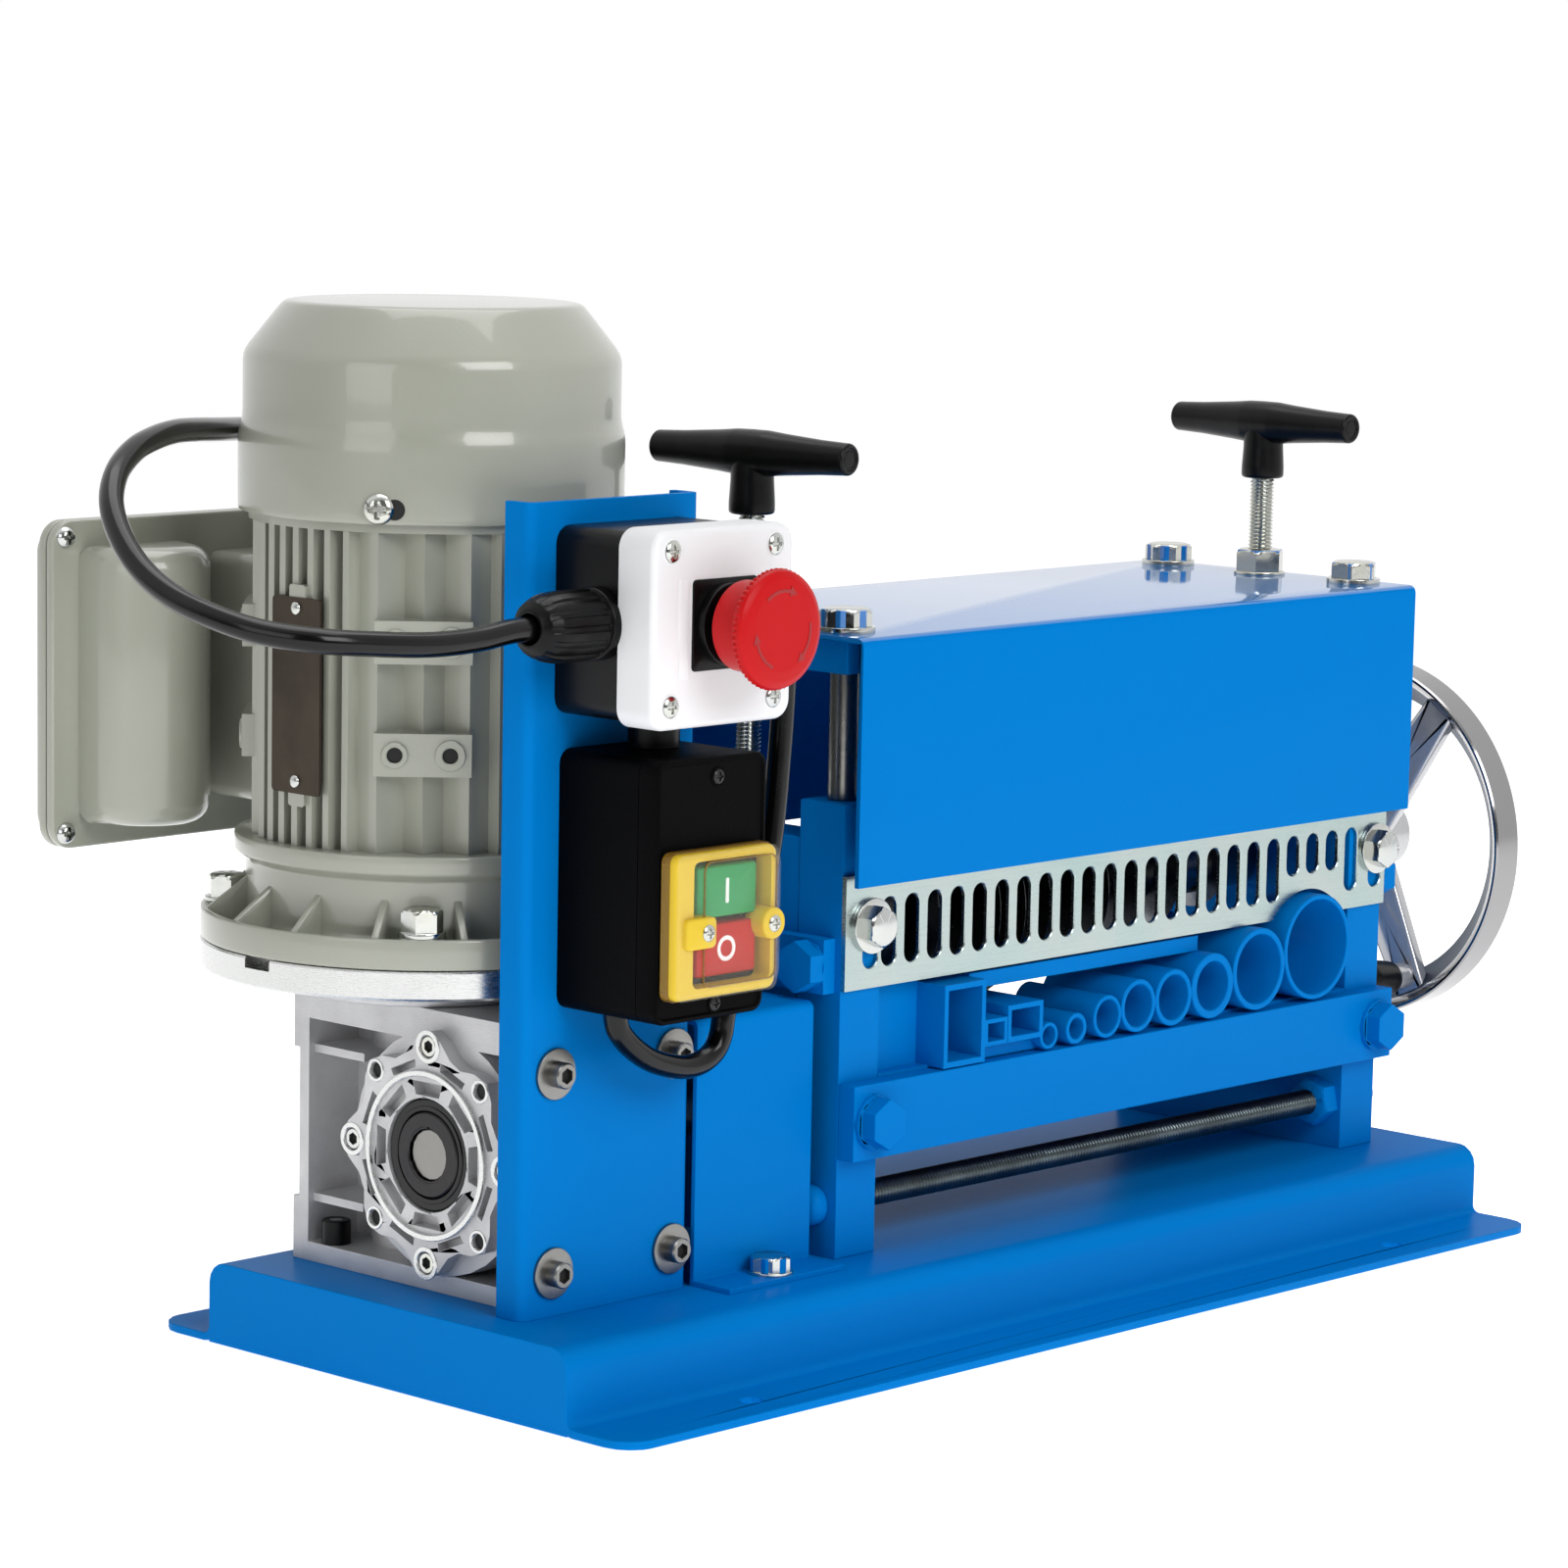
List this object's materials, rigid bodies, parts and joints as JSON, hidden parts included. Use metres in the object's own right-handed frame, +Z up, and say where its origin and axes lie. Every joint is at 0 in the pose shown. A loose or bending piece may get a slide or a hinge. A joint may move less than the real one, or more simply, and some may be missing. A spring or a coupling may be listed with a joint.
{
  "type": "motor-driven wire stripping machine",
  "caption": "Bench machine that slits cable insulation: a geared motor turns a feed roller under bevelled blades behind graded guide tubes, with a handwheel and two pressure screws.",
  "frame": {"origin": "under the front flange, midway along it and 11.5 mm out from the tray wall, on the bench", "axes": "+X along the machine from the gearbox to the handwheel, +Y away from the operator, +Z up"},
  "size_m": [0.6778, 0.284, 0.3752],
  "materials": {
    "blue_paint": "gloss powder coat",
    "motor_paint": "satin grey-green enamel",
    "cast_aluminium": "blasted casting",
    "zinc": "zinc plated",
    "steel": "turned and milled",
    "dark_steel": "blackened",
    "black_plastic": "fine grain",
    "white_plastic": "smooth",
    "red_plastic": "smooth",
    "green_plastic": "smooth",
    "yellow_plastic": "smooth",
    "clear_plastic": "soft clear membrane",
    "rubber": "satin sheath"
  },
  "bodies": {
    "machine": {"base_tray": "blue_paint", "left_side_frame": "blue_paint", "right_side_frame": "blue_paint", "front_bar": "blue_paint", "left_top_bar": "blue_paint", "right_top_bar": "blue_paint", "hood": "blue_paint", "left_keeper": "blue_paint", "right_front_keeper": "blue_paint", "right_rear_keeper": "blue_paint", "guide_shelf": "blue_paint", "medium_guide_tubes": "blue_paint", "large_guide_tubes": "blue_paint", "switch_bracket": "blue_paint", "shaft_guard": "blue_paint", "motor_bell": "motor_paint", "motor_frame": "motor_paint", "fan_cover": "motor_paint", "terminal_box": "motor_paint", "terminal_lid": "motor_paint", "gearbox_housing": "cast_aluminium", "left_output_cover": "cast_aluminium", "adapter_flange": "cast_aluminium", "slotted_strip": "zinc", "tie_rod": "dark_steel", "estop_base": "black_plastic", "estop_gland": "black_plastic", "estop_collar": "black_plastic", "station_box": "black_plastic", "station_lid": "black_plastic", "estop_lid": "white_plastic", "station_frame": "yellow_plastic", "station_cover": "clear_plastic", "output_seal": "rubber", "motor_lead": "rubber", "station_lead": "rubber"},
    "carriage": {"left_bearing_block": "blue_paint", "right_bearing_block": "blue_paint"},
    "blade_assembly": {"blade_shaft": "steel", "upper_gear": "steel", "grip_roller": "dark_steel", "blade_set": "steel", "handwheel": "cast_aluminium"},
    "feed_assembly": {"lower_shaft": "steel", "lower_gear": "steel", "feed_roller": "dark_steel", "output_sleeve": "dark_steel"},
    "rotor": {"cooling_fan": "black_plastic"},
    "left_screw": {"left_pressure_screw": "zinc", "left_tee_handle": "black_plastic"},
    "right_screw": {"right_pressure_screw": "zinc", "right_tee_handle": "black_plastic"},
    "grip": {"wheel_grip": "black_plastic"},
    "stop_plunger": {"estop_plunger": "black_plastic"},
    "stop_mushroom": {"estop_mushroom": "red_plastic"},
    "green_button": {"start_button": "green_plastic"},
    "red_button": {"stop_button": "red_plastic"}
  },
  "joints": [
    {"name": "blade_shaft_spin", "type": "hinge", "parent": "carriage", "child": "blade_assembly", "pos_m": [0.082, 0.1035, 0.144], "axis": [1, 0, 0], "continuous": true},
    {"name": "feed_shaft_spin", "type": "hinge", "parent": "machine", "child": "feed_assembly", "pos_m": [0.082, 0.1035, 0.08], "axis": [1, 0, 0], "continuous": true},
    {"name": "rotor_spin", "type": "hinge", "parent": "machine", "child": "rotor", "pos_m": [-0.1985, 0.146, 0.32], "axis": [0, 0, 1], "continuous": true},
    {"name": "carriage_lift", "type": "slide", "parent": "machine", "child": "carriage", "axis": [0, 0, 1], "range_m": [0, 0.005]},
    {"name": "left_screw_turn", "type": "hinge", "parent": "carriage", "child": "left_screw", "pos_m": [-0.0785, 0.1035, 0.25], "axis": [0, 0, 1], "range_deg": [0, 1200]},
    {"name": "right_screw_turn", "type": "hinge", "parent": "carriage", "child": "right_screw", "pos_m": [0.2215, 0.1035, 0.25], "axis": [0, 0, 1], "range_deg": [0, 1200]},
    {"name": "grip_spin", "type": "hinge", "parent": "blade_assembly", "child": "grip", "pos_m": [0.269, 0.0771, 0.0879], "axis": [1, 0, 0], "continuous": true},
    {"name": "stop_push", "type": "slide", "parent": "machine", "child": "stop_plunger", "axis": [0, 1, 0], "range_m": [0, 0.004], "stiffness_N_per_m": 600},
    {"name": "stop_twist", "type": "hinge", "parent": "stop_plunger", "child": "stop_mushroom", "pos_m": [-0.1975, -0.0165, 0.2733], "axis": [0, 1, 0], "range_deg": [0, 45], "stiffness_Nm_per_rad": 0.05},
    {"name": "green_button_push", "type": "slide", "parent": "machine", "child": "green_button", "axis": [0, 1, 0], "range_m": [0, 0.003], "stiffness_N_per_m": 400},
    {"name": "red_button_push", "type": "slide", "parent": "machine", "child": "red_button", "axis": [0, 1, 0], "range_m": [0, 0.003], "stiffness_N_per_m": 400}
  ],
  "couplings": [
    {"joint": "feed_shaft_spin", "follows": "blade_shaft_spin", "ratio": -1},
    {"joint": "rotor_spin", "follows": "blade_shaft_spin", "ratio": 15},
    {"joint": "left_screw_turn", "follows": "carriage_lift", "rad_per_m": 4188.8},
    {"joint": "right_screw_turn", "follows": "carriage_lift", "rad_per_m": 4188.8}
  ]
}
